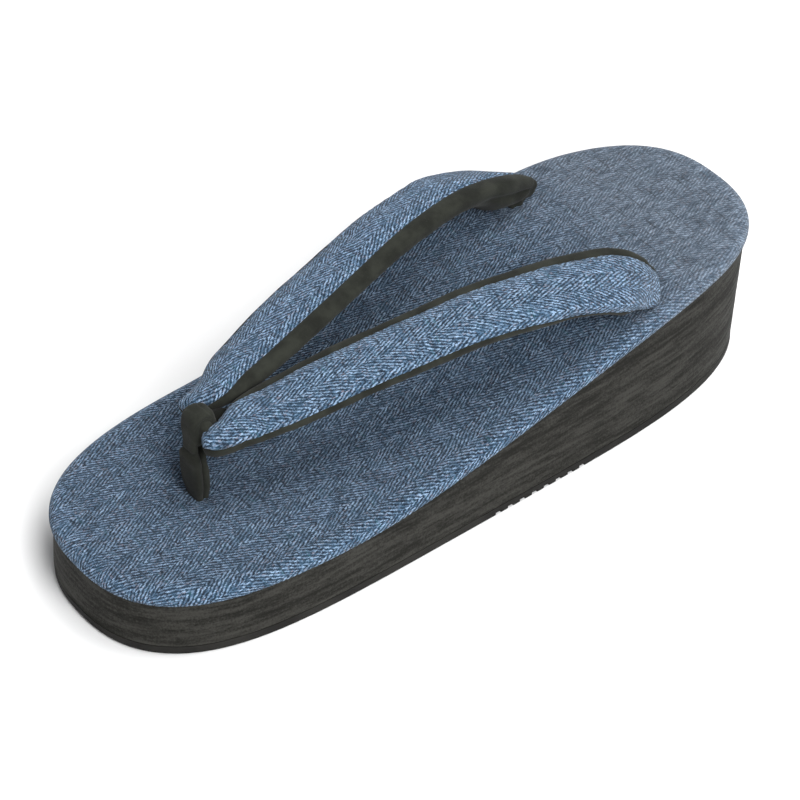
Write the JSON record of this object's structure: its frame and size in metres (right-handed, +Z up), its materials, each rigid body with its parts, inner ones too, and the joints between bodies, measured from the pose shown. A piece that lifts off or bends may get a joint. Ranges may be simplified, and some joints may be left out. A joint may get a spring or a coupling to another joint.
{
  "type": "zori sandal",
  "caption": "Wedge zori sandal with a rounded cloth footbed, a padded V strap, a suede toe thong and a dark foam platform on a thin grooved outsole.",
  "frame": {"origin": "on the floor, below the middle of the sandal", "axes": "+Z up, +Y towards the heel, -Y towards the toe, +X towards the side that the picture shows"},
  "size_m": [0.0868, 0.2406, 0.065],
  "materials": {
    "outsole": "matt rubber",
    "sole": "matt brushed foam",
    "footbed": "coarse blue herringbone cloth",
    "strap": "coarse blue herringbone cloth",
    "lining": "black suede",
    "thong": "black suede"
  },
  "bodies": {
    "root": {"outsole": "outsole", "sole": "sole", "footbed": "footbed", "strap": "strap", "strap_lining_right": "lining", "strap_lining_left": "lining", "toe_post": "thong"}
  },
  "joints": []
}
